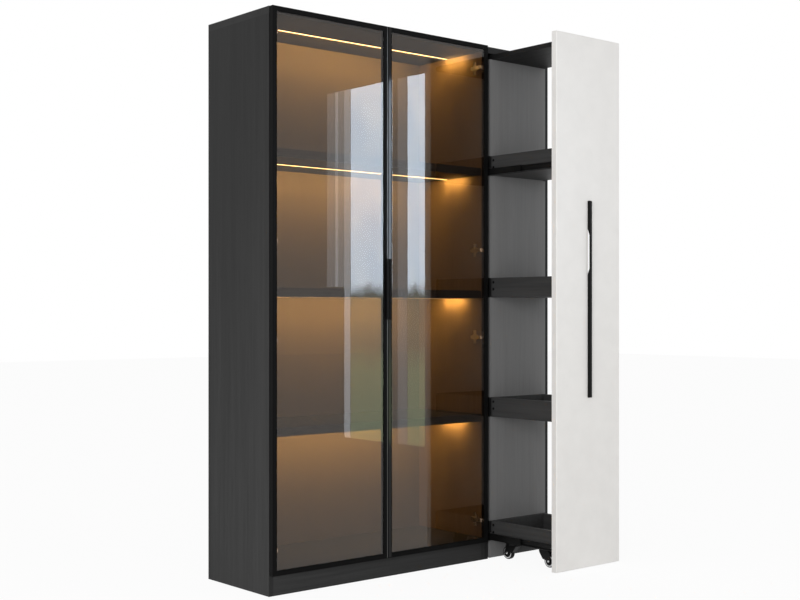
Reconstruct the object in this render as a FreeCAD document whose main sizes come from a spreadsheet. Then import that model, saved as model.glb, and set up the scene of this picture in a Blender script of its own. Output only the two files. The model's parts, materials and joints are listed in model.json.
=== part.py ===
import FreeCAD, Part

import math
import operator
import os

import Sketcher
from FreeCAD import Placement, Rotation, Vector

# Tall bookcase: a lit cabinet with two framed glass doors on the left, and on the right
# a narrow bay that holds a pull-out bookcase on telescopic slides and casters.
# It is built here with its doors shut and the pull-out drawn fully out.
#
# Millimetres. +X runs to the right along the front, +Y to the back, +Z up.
# Pieces are placed from the cabinet's corner: left outer face, front edge of the side
# panels, floor. The origin is then moved to the middle of the whole outline, on the floor.

SIZES = {
    # Cabinet
    "overall_height": 2000,
    "glass_module_width": 1014,
    "pullout_module_width": 358,
    "carcass_depth": 384,
    "board_thickness": 18,
    "top_thickness": 25,
    "plinth_height": 70,
    "rear_rail_setback": 36,
    "back_thickness": 8,
    "back_inset": 8,
    "groove_depth": 6,
    "back_edge_clearance": 0.5,
    "fit_clearance": 0.1,
    "bay_rail_height": 60,
    # Shelves
    "shelf_thickness": 30,
    "shelf_front_setback": 3,
    "shelf_back_clearance": 2,
    "shelf_lower_level": 538,
    "shelf_middle_level": 1017,
    "shelf_upper_level": 1493,
    # Lights
    "led_channel_width": 10,
    "led_channel_height": 7,
    "led_channel_wall": 1,
    "led_diffuser_thickness": 1.5,
    "led_line_setback": 194,
    "driver_length": 160,
    "driver_width": 45,
    "driver_height": 26,
    # Glass doors
    "door_thickness": 18,
    "door_gap": 2,
    "door_side_reveal": 1,
    "door_meeting_gap": 3,
    "door_top_reveal": 1,
    "door_bottom_reveal": 1,
    "frame_width": 18,
    "frame_wall": 1.4,
    "frame_lip": 1.8,
    "frame_slot_depth": 8.5,
    "glass_thickness": 4,
    "gasket_thickness": 0.4,
    "gasket_foot": 0.5,
    "pull_length": 220,
    "pull_base_level": 936,
    "pull_width": 10,
    "pull_projection": 8,
    "pull_wall": 1.8,
    "pull_base": 1,
    "bumper_size": 8,
    "bumper_thickness": 1.7,
    "bumper_spacing": 44,
    # Concealed hinges, four to a door
    "hinge_end_offset": 85,
    "hinge_inner_spread": 169,
    "swing_inset": 6,
    "swing_depth": 5,
    "hinge_bisector": 24.2,
    "hinge_half_swing": 45,
    "arm_pivot_reach": 21.9,
    "link_pivot_reach": 10,
    "arm_length": 52,
    "arm_half_height": 6.6,
    "arm_nose_reach": 4,
    "arm_pin_radius": 2,
    "running_clearance": 0.05,
    "link_half_height": 4,
    "link_half_width": 1.9,
    "link_eye_radius": 3.4,
    "link_end_reach": 2.4,
    "hinge_side_clearance": 0.3,
    "plate_thickness": 3,
    "plate_setback": 20,
    "plate_length": 30,
    "plate_half_height": 26,
    "plate_waist": 9,
    "notch_half_height": 22,
    "notch_edge_wall": 1.7,
    "notch_floor": 7.4,
    "notch_step": 11.5,
    "notch_shelf": 8.6,
    "cup_ear_thickness": 2.6,
    "cup_flange_half_height": 20,
    "cup_web_thickness": 1,
    # Pull-out bookcase
    "pullout_panel_gap": 2,
    "panel_thickness": 24,
    "panel_left_reveal": 2.5,
    "panel_right_reveal": 1,
    "panel_floor_gap": 4,
    "panel_top_reveal": 1,
    "panel_edge_radius": 3,
    "slide_space": 13.5,
    "pullout_rear_clearance": 1,
    "pullout_top_gap": 6,
    "tray_board": 15,
    "tray_side_height": 76,
    "tray_lower_level": 555,
    "tray_upper_level": 1021,
    "tray_top_level": 1497,
    "rear_panel_side_gap": 3,
    "corner_block_width": 14,
    "slide_notch_clearance": 2,
    "handle_base_level": 642,
    "handle_length": 740,
    "handle_width": 12,
    "handle_projection": 12,
    "handle_edge_bevel": 0.8,
    "handle_end_radius": 4,
    "scoop_start": 463,
    "scoop_length": 171,
    "scoop_depth": 9,
    "scoop_run": 22,
    "scoop_radius": 16,
    # Telescopic slides
    "slide_rear_clearance": 20,
    "slide_overtravel": 2,
    "slide_wall": 1.2,
    "slide_half_height": 14,
    "slide_step": 1.6,
    "slide_flange": 9.5,
    "slide_middle_offset": 2.2,
    "slide_middle_depth": 8.5,
    "slide_inner_depth": 8,
    # Casters
    "caster_height": 73,
    "caster_trail": 22,
    "caster_side_inset": 48.5,
    "caster_front_inset": 100,
    "caster_rear_inset": 88,
    "wheel_radius": 25,
    "wheel_width": 18,
    "axle_radius": 3,
    "axle_end": 2,
    "fork_inner_half": 9.3,
    "fork_wall": 2.5,
    "fork_crown_radius": 28,
    "fork_crown_height": 11.5,
    "fork_crown_level": 58.7,
    "fork_shoulder_drop": 5,
    "fork_lug": 8,
    "hood_mouth_reach": 8.5,
    "hood_tip_level": 30,
    "caster_plate_size": 56,
    "caster_plate_thickness": 2.5,
    "caster_plate_corner": 6,
    "kingpin_radius": 4,
    "kingpin_clearance": 0.1,
    "kingpin_head_radius": 7,
    "kingpin_head_height": 2,
}

doc = FreeCAD.newDocument("glass_door_bookcase")
sheet = doc.addObject("Spreadsheet::Sheet", "Sizes")
for row, (name, value) in enumerate(SIZES.items(), start=1):
    sheet.set(f"A{row}", name)
    sheet.set(f"B{row}", str(value))
    sheet.setAlias(f"B{row}", name)
doc.recompute()


# ---------------------------------------------------------------- lengths from the sheet

class Size:
    """A length: its number now, and the formula on the sheet's cells that keeps it so."""

    def __init__(self, number, formula):
        self.number = number
        self.formula = formula

    def __add__(self, other):
        return combine(self, "+", other)

    def __radd__(self, other):
        return combine(other, "+", self)

    def __sub__(self, other):
        return combine(self, "-", other)

    def __rsub__(self, other):
        return combine(other, "-", self)

    def __mul__(self, other):
        return combine(self, "*", other)

    def __rmul__(self, other):
        return combine(other, "*", self)

    def __truediv__(self, other):
        return combine(self, "/", other)

    def __neg__(self):
        return combine(0, "-", self)


SIGNS = {"+": operator.add, "-": operator.sub, "*": operator.mul, "/": operator.truediv}


def as_size(value):
    return value if isinstance(value, Size) else Size(float(value), f"({float(value):g})")


def combine(left, sign, right):
    left = as_size(left)
    right = as_size(right)
    number = SIGNS[sign](left.number, right.number)
    return Size(number, f"({left.formula} {sign} {right.formula})")


def cosine(angle):
    return Size(math.cos(math.radians(angle.number)), f"cos({angle.formula} * 1 deg)")


def sine(angle):
    return Size(math.sin(math.radians(angle.number)), f"sin({angle.formula} * 1 deg)")


def distance(across, along):
    squares = across * across + along * along
    return Size(math.sqrt(squares.number), f"sqrt({squares.formula})")


class Dimensions:
    """Reads a cell of the sheet by its name, as a Size."""

    def __getattr__(self, name):
        return Size(float(SIZES[name]), f"Sizes.{name}")


dim = Dimensions()


def bind(thing, prop, value):
    """Tie a property to the sheet, so that it follows the sheet's cells."""
    thing.setExpression(prop, as_size(value).formula)


# ---------------------------------------------------------------- derived places

total_width = dim.glass_module_width + dim.pullout_module_width
left_inner = dim.board_thickness
middle_inner = dim.glass_module_width - dim.board_thickness
inner_width = middle_inner - left_inner
module_joint = dim.glass_module_width
bay_inner_left = module_joint + dim.board_thickness
bay_inner_right = total_width - dim.board_thickness
top_underside = dim.overall_height - dim.top_thickness
back_front = dim.carcass_depth - dim.back_inset - dim.back_thickness

door_front = -(dim.door_gap + dim.door_thickness)
door_bottom = dim.plinth_height + dim.door_bottom_reveal
door_height = dim.overall_height - dim.door_top_reveal - door_bottom
door_width = (dim.glass_module_width - 2 * dim.door_side_reveal - dim.door_meeting_gap) / 2
door_swing_x = dim.door_side_reveal + dim.swing_inset
door_swing_y = door_front + dim.swing_depth
door_middle_z = door_bottom + door_height / 2
hinge_levels = [
    door_bottom + dim.hinge_end_offset,
    door_middle_z - dim.hinge_inner_spread,
    door_middle_z + dim.hinge_inner_spread,
    door_bottom + door_height - dim.hinge_end_offset,
]

slide_length = back_front - dim.slide_rear_clearance
pullout_travel = slide_length + dim.slide_overtravel
bay_rail_front = back_front - (dim.board_thickness - dim.back_thickness) / 2
body_depth = bay_rail_front - dim.pullout_rear_clearance + dim.pullout_panel_gap
panel_back = -(dim.pullout_panel_gap + pullout_travel)
panel_front = panel_back - dim.panel_thickness
panel_left = module_joint + dim.panel_left_reveal
panel_width = total_width - dim.panel_right_reveal - panel_left
panel_height = dim.overall_height - dim.panel_top_reveal - dim.panel_floor_gap
handle_front = panel_front - dim.handle_projection
pullout_left = bay_inner_left + dim.slide_space
pullout_right = bay_inner_right - dim.slide_space
pullout_width = pullout_right - pullout_left
pullout_rear = panel_back + body_depth
pullout_top = top_underside - dim.pullout_top_gap
rear_panel_front = pullout_rear - dim.board_thickness
rear_panel_left = bay_inner_left + dim.rear_panel_side_gap
rear_panel_right = bay_inner_right - dim.rear_panel_side_gap
tray_length = rear_panel_front - panel_back
tray_levels = {
    "bottom": dim.caster_height,
    "lower": dim.tray_lower_level,
    "upper": dim.tray_upper_level,
    "top": dim.tray_top_level,
}
slide_trays = ("bottom", "top")

front_swivel_y = panel_back + dim.caster_front_inset
rear_swivel_y = pullout_rear - dim.caster_rear_inset
left_swivel_x = pullout_left + dim.caster_side_inset
right_swivel_x = pullout_right - dim.caster_side_inset
caster_spots = {
    "front_left": (left_swivel_x, front_swivel_y, -1),
    "front_right": (right_swivel_x, front_swivel_y, -1),
    "rear_left": (left_swivel_x, rear_swivel_y, 1),
    "rear_right": (right_swivel_x, rear_swivel_y, 1),
}

origin_x = total_width / 2
origin_y = (dim.carcass_depth + handle_front) / 2

parts = []


def keep(thing):
    """Count a finished sub-part among the nodes that are written out."""
    parts.append(thing)
    return thing


# ---------------------------------------------------------------- building blocks

def place(thing, corner):
    """Put a piece at a point counted from the cabinet's corner."""
    across, along, up = corner
    bind(thing, "Placement.Base.x", across - origin_x)
    bind(thing, "Placement.Base.y", along - origin_y)
    bind(thing, "Placement.Base.z", up)


def block(label, spans, corner):
    """A rectangular board or a rectangular tool."""
    box = doc.addObject("Part::Box", label)
    for prop, value in zip(("Length", "Width", "Height"), spans):
        bind(box, prop, value)
    place(box, corner)
    return box


def carve(label, base, tools):
    """Cut grooves and bores out of a board."""
    removed = doc.addObject("Part::Compound", f"{label}_cuts")
    removed.Links = tools
    cut = doc.addObject("Part::Cut", label)
    cut.Base = base
    cut.Tool = removed
    return cut


def group(label, pieces):
    """Identical or matching pieces that share one node."""
    compound = doc.addObject("Part::Compound", label)
    compound.Links = pieces
    return compound


AS_DRAWN = Rotation()
TURNED_ROUND = Rotation(Vector(0, 0, 1), 180)
# The hinge pieces are alike above and below, so turning one over gives its other hand.
TURNED_OVER = Rotation(Vector(0, 1, 0), 180)


def repeat(label, master, spots):
    """Copies of one piece; each spot is a point and a way to turn the piece."""
    copies = []
    for corner, turn in spots:
        copy = doc.addObject("App::Link", f"{label}_piece")
        copy.LinkedObject = master
        copy.Placement = Placement(Vector(), turn)
        place(copy, corner)
        copies.append(copy)
    return group(label, copies)


def new_body(label):
    return doc.addObject("PartDesign::Body", label)


def sketch_on(body, role, offset=0):
    """An empty sketch on one of the body's own planes, moved along that plane's normal."""
    plane = next(item for item in body.Origin.OriginFeatures if item.Role == role)
    sketch = body.newObject("Sketcher::SketchObject", f"{body.Name}_sketch")
    sketch.AttachmentSupport = [(plane, "")]
    sketch.MapMode = "FlatFace"
    bind(sketch, "AttachmentOffset.Base.z", offset)
    return sketch


def hold(sketch, geometry, point, corner):
    """Tie one point of a sketch to its two coordinates."""
    for kind, value, axis in zip(("DistanceX", "DistanceY"), corner, (-2, -1)):
        value = as_size(value)
        if value.formula == "(0)":
            sketch.addConstraint(Sketcher.Constraint("PointOnObject", geometry, point, axis))
            continue
        index = sketch.addConstraint(Sketcher.Constraint(kind, geometry, point, value.number))
        sketch.setExpression(f"Constraints[{index}]", value.formula)


def ring(sketch, corners):
    """A closed outline of straight sides, with every corner tied to the sheet."""
    first = sketch.GeometryCount
    count = len(corners)
    points = [Vector(as_size(u).number, as_size(v).number, 0) for u, v in corners]
    for index in range(count):
        line = Part.LineSegment(points[index], points[(index + 1) % count])
        sketch.addGeometry(line, False)
    for index in range(count):
        after = first + (index + 1) % count
        sketch.addConstraint(Sketcher.Constraint("Coincident", first + index, 2, after, 1))
        hold(sketch, first + index, 1, corners[index])


def disc(sketch, centre, radius):
    """A circle with its centre and radius tied to the sheet."""
    middle = Vector(as_size(centre[0]).number, as_size(centre[1]).number, 0)
    radius = as_size(radius)
    index = sketch.addGeometry(Part.Circle(middle, Vector(0, 0, 1), radius.number), False)
    hold(sketch, index, 3, centre)
    size = sketch.addConstraint(Sketcher.Constraint("Radius", index, radius.number))
    sketch.setExpression(f"Constraints[{size}]", radius.formula)


def rectangle(sketch, low, high):
    ring(sketch, [low, (high[0], low[1]), high, (low[0], high[1])])


def pad(body, sketch, length, both=False, back=False):
    feature = body.newObject("PartDesign::Pad", f"{body.Name}_pad")
    feature.Profile = sketch
    feature.SideType = "Symmetric" if both else "One side"
    feature.Reversed = back
    bind(feature, "Length", length)
    return feature


def pocket(body, sketch, length, both=False, back=False):
    feature = body.newObject("PartDesign::Pocket", f"{body.Name}_pocket")
    feature.Profile = sketch
    feature.SideType = "Symmetric" if both else "One side"
    feature.Reversed = back
    bind(feature, "Length", length)
    return feature


def turned(body, sketch, axis):
    """A solid of revolution about the sketch's own H_Axis or V_Axis."""
    feature = body.newObject("PartDesign::Revolution", f"{body.Name}_turned")
    feature.Profile = sketch
    feature.ReferenceAxis = (sketch, [axis])
    feature.Angle = 360
    return feature


def edges_where(feature, test):
    """Names of a feature's edges that pass a test; the shape has to be computed."""
    doc.recompute()
    numbered = enumerate(feature.Shape.Edges, start=1)
    return [f"Edge{number}" for number, edge in numbered if test(edge)]


def rounded(body, feature, radius, test):
    """Fillet the edges of a body's last feature that pass a test."""
    names = edges_where(feature, test)
    fillet = body.newObject("PartDesign::Fillet", f"{body.Name}_fillet")
    fillet.Base = (feature, names)
    bind(fillet, "Radius", radius)
    return fillet


def bevelled(body, feature, size, test):
    """Chamfer the edges of a body's last feature that pass a test."""
    names = edges_where(feature, test)
    chamfer = body.newObject("PartDesign::Chamfer", f"{body.Name}_chamfer")
    chamfer.Base = (feature, names)
    bind(chamfer, "Size", size)
    return chamfer


def runs_along(edge, axis):
    """True for a straight edge that runs along an axis."""
    if not isinstance(edge.Curve, Part.Line):
        return False
    return abs(abs(edge.Curve.Direction.dot(axis)) - 1) < 1e-6


ALONG_X = Vector(1, 0, 0)
ALONG_Z = Vector(0, 0, 1)


def near(value, size):
    return abs(value - as_size(size).number) < 1e-3


# ---------------------------------------------------------------- carcass

shelf_levels = {
    "lower": dim.shelf_lower_level,
    "middle": dim.shelf_middle_level,
    "upper": dim.shelf_upper_level,
}


def panel_groove(name, face_x, low_z, inward):
    """The tool for the groove that takes the back panel; inward is +1 or -1."""
    near_x = face_x - dim.groove_depth if inward > 0 else face_x
    width = dim.back_thickness + 2 * dim.fit_clearance
    spans = (dim.groove_depth, width, top_underside - low_z)
    return block(name, spans, (near_x, back_front - dim.fit_clearance, low_z))


def upright(label, left_x, groove_x, low_z, inward):
    """A side panel: a standing board, grooved on its inner face for the back panel."""
    spans = (dim.board_thickness, dim.carcass_depth, top_underside)
    blank = block(f"{label}_blank", spans, (left_x, 0, 0))
    groove = panel_groove(f"{label}_groove", groove_x, low_z, inward)
    return keep(carve(label, blank, [groove]))


upright("side_panel_left", 0, left_inner, dim.plinth_height, 1)
upright("side_panel_middle", middle_inner, middle_inner, dim.plinth_height, -1)
upright("bay_side_left", module_joint, bay_inner_left, dim.bay_rail_height, 1)
upright("bay_side_right", bay_inner_right, bay_inner_right, dim.bay_rail_height, -1)

led_groove_width = dim.led_channel_width + 2 * dim.fit_clearance
led_groove_height = dim.led_channel_height + dim.fit_clearance
led_groove_y = dim.led_line_setback - dim.fit_clearance


def roof(label, left_x, right_x, tools=()):
    """A top board that lies over two side panels, grooved below for the back panel."""
    spans = (right_x - left_x, dim.carcass_depth, dim.top_thickness)
    blank = block(f"{label}_blank", spans, (left_x, 0, top_underside))
    margin = dim.board_thickness - dim.groove_depth
    groove_spans = (
        right_x - left_x - 2 * margin,
        dim.back_thickness + 2 * dim.fit_clearance,
        dim.groove_depth,
    )
    corner = (left_x + margin, back_front - dim.fit_clearance, top_underside)
    groove = block(f"{label}_groove", groove_spans, corner)
    return keep(carve(label, blank, [groove, *tools]))


roof("top_board", 0, module_joint, [
    block("top_led_groove", (inner_width, led_groove_width, led_groove_height),
          (left_inner, led_groove_y, top_underside)),
])
roof("bay_top_board", module_joint, total_width)

keep(block("bottom_board",
           (inner_width, back_front - dim.fit_clearance, dim.board_thickness),
           (left_inner, 0, dim.plinth_height)))
keep(block("plinth_board",
           (inner_width, dim.board_thickness, dim.plinth_height),
           (left_inner, 0, 0)))
keep(block("plinth_rear_rail",
           (inner_width, dim.board_thickness, dim.plinth_height),
           (left_inner, back_front - dim.rear_rail_setback, 0)))
keep(block("bay_rear_rail",
           (bay_inner_right - bay_inner_left, dim.board_thickness, dim.bay_rail_height),
           (bay_inner_left, bay_rail_front, 0)))


def back_sheet(label, left_x, right_x, low_z):
    """A back panel held in the grooves of its side panels and top board."""
    reach = dim.groove_depth - dim.back_edge_clearance
    spans = (right_x - left_x + 2 * reach, dim.back_thickness, top_underside + reach - low_z)
    return keep(block(label, spans, (left_x - reach, back_front, low_z)))


back_sheet("back_panel", left_inner, middle_inner, dim.plinth_height)
back_sheet("bay_back_panel", bay_inner_left, bay_inner_right, dim.bay_rail_height)


def shelf(name, level):
    """A thick fixed shelf with a groove below it for the light channel."""
    depth = back_front - dim.shelf_back_clearance - dim.shelf_front_setback
    blank = block(f"shelf_{name}_blank", (inner_width, depth, dim.shelf_thickness),
                  (left_inner, dim.shelf_front_setback, level))
    groove = block(f"shelf_{name}_groove", (inner_width, led_groove_width, led_groove_height),
                   (left_inner, led_groove_y, level))
    return keep(carve(f"shelf_{name}", blank, [groove]))


for shelf_name, shelf_level in shelf_levels.items():
    shelf(shelf_name, shelf_level)


# ---------------------------------------------------------------- lights

light_levels = [*shelf_levels.values(), top_underside]


def led_channel():
    """An aluminium channel, open below."""
    body = new_body("led_channel")
    sketch = sketch_on(body, "YZ_Plane")
    wall = dim.led_channel_wall
    width = dim.led_channel_width
    height = dim.led_channel_height
    ring(sketch, [
        (0, 0), (wall, 0), (wall, height - wall), (width - wall, height - wall),
        (width - wall, 0), (width, 0), (width, height), (0, height),
    ])
    pad(body, sketch, inner_width)
    return body


keep(repeat("led_channels", led_channel(), [
    ((left_inner, dim.led_line_setback, level), AS_DRAWN) for level in light_levels
]))
keep(group("led_diffusers", [
    block("led_diffuser",
          (inner_width, dim.led_channel_width - 2 * dim.led_channel_wall,
           dim.led_diffuser_thickness),
          (left_inner, dim.led_line_setback + dim.led_channel_wall, level))
    for level in light_levels
]))
keep(block("led_driver",
           (dim.driver_length, dim.driver_width, dim.driver_height),
           (dim.glass_module_width / 2 - dim.driver_length / 2, dim.led_line_setback,
            dim.plinth_height - dim.driver_height)))


# ---------------------------------------------------------------- glass doors
# A door's hand is +1 when it is hinged at its left edge, and -1 at its right edge.

slot_back = dim.frame_lip + dim.glass_thickness + 2 * dim.gasket_thickness
chamber_front = slot_back + dim.frame_wall + dim.fit_clearance
glass_inset = dim.frame_width - dim.frame_slot_depth + dim.gasket_foot
glass_front = dim.frame_lip + dim.gasket_thickness
DOORS = {
    "left": (dim.door_side_reveal, 1),
    "right": (dim.glass_module_width - dim.door_side_reveal - door_width, -1),
}


def bar_section(inward):
    """A frame bar's outline and its hollow chamber, as two rings of (across, deep)."""
    width = dim.frame_width
    wall = dim.frame_wall
    slot = dim.frame_width - dim.frame_slot_depth
    outline = [
        (0, 0), (width, 0), (width, dim.frame_lip), (slot, dim.frame_lip),
        (slot, slot_back), (width, slot_back), (width, dim.door_thickness),
        (0, dim.door_thickness),
    ]
    chamber = [
        (wall, chamber_front), (width - wall, chamber_front),
        (width - wall, dim.door_thickness - wall), (wall, dim.door_thickness - wall),
    ]
    return [
        [(across * inward, deep) for across, deep in corners] for corners in (outline, chamber)
    ]


def mitre(body, corners):
    """Cut a bar's end at 45 degrees; the corners are (x, z) points of the waste."""
    sketch = sketch_on(body, "XZ_Plane")
    ring(sketch, corners)
    pocket(body, sketch, 4 * dim.door_thickness, both=True)


def hinge_notch(body, inward, level):
    """The recess behind the glass slot that takes a hinge cup."""
    past = dim.door_thickness + dim.frame_wall
    side = (dim.frame_width + dim.frame_wall) * inward
    edge = dim.notch_edge_wall * inward
    step = dim.notch_step * inward
    sketch = sketch_on(body, "XY_Plane", level)
    ring(sketch, [
        (edge, past), (edge, dim.notch_floor), (step, dim.notch_floor),
        (step, dim.notch_shelf), (side, dim.notch_shelf), (side, past),
    ])
    pocket(body, sketch, 2 * dim.notch_half_height, both=True)


def stile(label, inward, notched):
    """An upright frame bar; inward is +1 when the glass lies on its +X side."""
    body = new_body(label)
    section = sketch_on(body, "XY_Plane")
    for corners in bar_section(inward):
        ring(section, corners)
    pad(body, section, door_height)
    width = dim.frame_width * inward
    mitre(body, [(0, 0), (width, 0), (width, dim.frame_width)])
    mitre(body, [(0, door_height), (width, door_height), (width, door_height - dim.frame_width)])
    if notched:
        for level in hinge_levels:
            hinge_notch(body, inward, level - door_bottom)
    return body


def rail(label, inward):
    """A level frame bar; inward is +1 when the glass lies above it."""
    body = new_body(label)
    section = sketch_on(body, "YZ_Plane")
    for corners in bar_section(inward):
        ring(section, [(deep, across) for across, deep in corners])
    pad(body, section, door_width)
    height = dim.frame_width * inward
    mitre(body, [(0, 0), (0, height), (dim.frame_width, height)])
    mitre(body, [(door_width, 0), (door_width, height), (door_width - dim.frame_width, height)])
    return body


def door_frame(side, low_x, hand):
    """Four mitred bars round the glass."""
    high_x = low_x + door_width
    hinge_x, meeting_x = (low_x, high_x) if hand > 0 else (high_x, low_x)
    bars = [
        (stile(f"{side}_hinge_stile", hand, True), hinge_x, door_bottom),
        (stile(f"{side}_meeting_stile", -hand, False), meeting_x, door_bottom),
        (rail(f"{side}_bottom_rail", 1), low_x, door_bottom),
        (rail(f"{side}_top_rail", -1), low_x, door_bottom + door_height),
    ]
    for body, across, level in bars:
        place(body, (across, door_front, level))
    return keep(group(f"door_{side}_frame", [body for body, across, level in bars]))


def inset_block(label, low_x, inset, front, depth):
    """A block as large as a door less an inset all round, at a depth behind its face."""
    return block(label, (door_width - 2 * inset, depth, door_height - 2 * inset),
                 (low_x + inset, door_front + front, door_bottom + inset))


def door_gasket(side, low_x):
    """A rubber channel round the glass edge, filling the frame's slot."""
    outer = inset_block(f"{side}_gasket_outer", low_x, glass_inset - dim.gasket_foot,
                        dim.frame_lip, slot_back - dim.frame_lip)
    pane = inset_block(f"{side}_gasket_pane", low_x, glass_inset, glass_front,
                       dim.glass_thickness)
    window = inset_block(f"{side}_gasket_window", low_x, dim.frame_width, 0,
                         dim.door_thickness)
    return keep(carve(f"door_{side}_gasket", outer, [pane, window]))


def door_pull(side, free_x, hand):
    """A hooked edge pull on the meeting stile; x = 0 is the door's free edge."""
    body = new_body(f"door_{side}_pull")
    sketch = sketch_on(body, "XY_Plane")
    width = -dim.pull_width * hand
    web = -dim.pull_wall * hand
    front = -dim.pull_projection
    behind = front + dim.pull_wall
    base = -dim.pull_base
    ring(sketch, [
        (0, 0), (0, front), (width, front), (width, behind), (web, behind), (web, base),
        (width, base), (width, 0),
    ])
    hook = pad(body, sketch, dim.pull_length)
    rounded(body, hook, dim.pull_wall / 3,
            lambda edge: runs_along(edge, ALONG_Z) and near(edge.CenterOfMass.y, front))
    place(body, (free_x, door_front, dim.pull_base_level))
    return keep(body)


for side, (low_x, hand) in DOORS.items():
    door_frame(side, low_x, hand)
    keep(inset_block(f"door_{side}_glass", low_x, glass_inset, glass_front,
                     dim.glass_thickness))
    door_gasket(side, low_x)
    door_pull(side, low_x + door_width if hand > 0 else low_x, hand)


# ---------------------------------------------------------------- concealed hinges
# Drawn about the hinge's mid height, from the cabinet's corner. The left door turns about
# the swing axis. Each link turns on the arm's pin, and its free end meets the cup's pin with
# the door shut and at right angles: both pins lie on rays from the swing axis that
# make the two triangles equal. Between those ends it floats in the cup.

def from_swing(reach, angle):
    """A point in plan at a distance and an angle from the door's swing axis."""
    return (door_swing_x + reach * cosine(angle), door_swing_y + reach * sine(angle))


arm_pivot = from_swing(dim.arm_pivot_reach, dim.hinge_bisector)
link_pivot = from_swing(dim.link_pivot_reach, dim.hinge_bisector + dim.hinge_half_swing)


def hinge_plate():
    """A winged mounting plate on the side panel's inner face."""
    body = new_body("hinge_plate")
    sketch = sketch_on(body, "YZ_Plane", left_inner)
    start = dim.plate_setback
    end = dim.plate_setback + dim.plate_length
    wing_start = start + dim.plate_length / 4
    wing_end = end - dim.plate_length / 4
    tall = dim.plate_half_height
    waist = dim.plate_waist
    ring(sketch, [
        (start, -waist), (wing_start, -waist), (wing_start, -tall), (wing_end, -tall),
        (wing_end, -waist), (end, -waist), (end, waist), (wing_end, waist),
        (wing_end, tall), (wing_start, tall), (wing_start, waist), (start, waist),
    ])
    pad(body, sketch, dim.plate_thickness)
    return body


def hinge_arm():
    """The cabinet arm: a body over the plate and a forked nose that holds the link's pin."""
    body = new_body("hinge_arm")
    across, along = arm_pivot
    nose = dim.arm_nose_reach
    inner_x = left_inner + dim.plate_thickness
    shoulder = along + 2 * nose + dim.fit_clearance
    height = 2 * dim.arm_half_height
    plan = sketch_on(body, "XY_Plane")
    ring(plan, [
        (across - nose, shoulder), (across - nose, along - nose / 2),
        (across - nose / 2, along - nose), (across + nose / 2, along - nose),
        (across + nose, along - nose / 2), (across + nose, dim.arm_length - nose),
        (across, dim.arm_length), (inner_x, dim.arm_length), (inner_x, shoulder),
    ])
    pad(body, plan, height, both=True)
    slot = sketch_on(body, "XY_Plane")
    slot_end = shoulder - nose / 2
    rectangle(slot, (across - 2 * nose, along - 2 * nose), (across + 2 * nose, slot_end))
    pocket(body, slot, 2 * (dim.link_half_height + dim.hinge_side_clearance), both=True)
    pin = sketch_on(body, "XY_Plane")
    disc(pin, arm_pivot, dim.arm_pin_radius)
    pad(body, pin, height, both=True)
    return body


def hinge_link():
    """A flat link: an eye on the arm's pin, and a blunt free end in the cup."""
    body = new_body("hinge_link")
    start_x, start_y = link_pivot
    run_x = arm_pivot[0] - start_x
    run_y = arm_pivot[1] - start_y
    length = distance(run_x, run_y)
    half = dim.link_half_width
    eye = dim.link_eye_radius
    tip = dim.link_end_reach

    def spot(reach, side):
        """A point at a reach from the free pivot towards the eye, and to one side."""
        return (
            start_x + reach / length * run_x - side / length * run_y,
            start_y + reach / length * run_y + side / length * run_x,
        )

    one_side = [
        (-tip, half / 2), (0 * tip, half), (length - eye, half), (length - eye / 2, eye),
        (length + eye / 2, eye), (length + eye, eye / 2),
    ]
    corners = [spot(reach, side) for reach, side in one_side]
    corners += [spot(reach, -side) for reach, side in reversed(one_side)]
    web = sketch_on(body, "XY_Plane")
    ring(web, corners)
    pad(body, web, 2 * dim.link_half_height, both=True)
    bore = sketch_on(body, "XY_Plane")
    disc(bore, arm_pivot, dim.arm_pin_radius + dim.running_clearance)
    pocket(body, bore, 4 * dim.link_half_height, both=True)
    return body


def hinge_cup():
    """The door side of a hinge: two ears beside the link and a flange behind the glass."""
    body = new_body("hinge_cup")
    gap = dim.hinge_side_clearance / 3
    edge_x = dim.door_side_reveal + dim.notch_edge_wall + gap
    step_x = dim.door_side_reveal + dim.notch_step - gap
    inner_x = dim.door_side_reveal + dim.frame_width
    floor_y = door_front + dim.notch_floor + gap
    shelf_y = door_front + dim.notch_shelf + gap
    back_y = door_front + dim.door_thickness
    ear_half = dim.link_half_height + dim.hinge_side_clearance + gap
    web_y = shelf_y + dim.cup_web_thickness
    ears = sketch_on(body, "XY_Plane")
    ring(ears, [
        (edge_x, back_y), (edge_x, floor_y), (step_x, floor_y), (step_x, shelf_y),
        (inner_x, shelf_y), (inner_x, back_y),
    ])
    pad(body, ears, 2 * (ear_half + dim.cup_ear_thickness), both=True)
    throat = sketch_on(body, "XY_Plane")
    web_x = step_x + dim.cup_web_thickness
    ring(throat, [
        (edge_x - gap, back_y + gap), (edge_x - gap, floor_y - gap), (web_x, floor_y - gap),
        (web_x, web_y), (inner_x + gap, web_y), (inner_x + gap, back_y + gap),
    ])
    pocket(body, throat, 2 * ear_half, both=True)
    flange = sketch_on(body, "XY_Plane")
    rectangle(flange, (web_x, shelf_y), (inner_x, web_y))
    pad(body, flange, 2 * dim.cup_flange_half_height, both=True)
    return body


left_hinge_spots = [((0, 0, level), AS_DRAWN) for level in hinge_levels]
right_hinge_spots = [
    ((dim.glass_module_width, 0, level), TURNED_OVER) for level in hinge_levels
]
cup_master = hinge_cup()
link_master = hinge_link()
keep(repeat("door_left_hinge_cups", cup_master, left_hinge_spots))
keep(repeat("door_right_hinge_cups", cup_master, right_hinge_spots))
keep(repeat("hinge_links_left", link_master, left_hinge_spots))
keep(repeat("hinge_links_right", link_master, right_hinge_spots))
keep(repeat("hinge_plates", hinge_plate(), left_hinge_spots + right_hinge_spots))
keep(repeat("hinge_arms", hinge_arm(), left_hinge_spots + right_hinge_spots))


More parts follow.
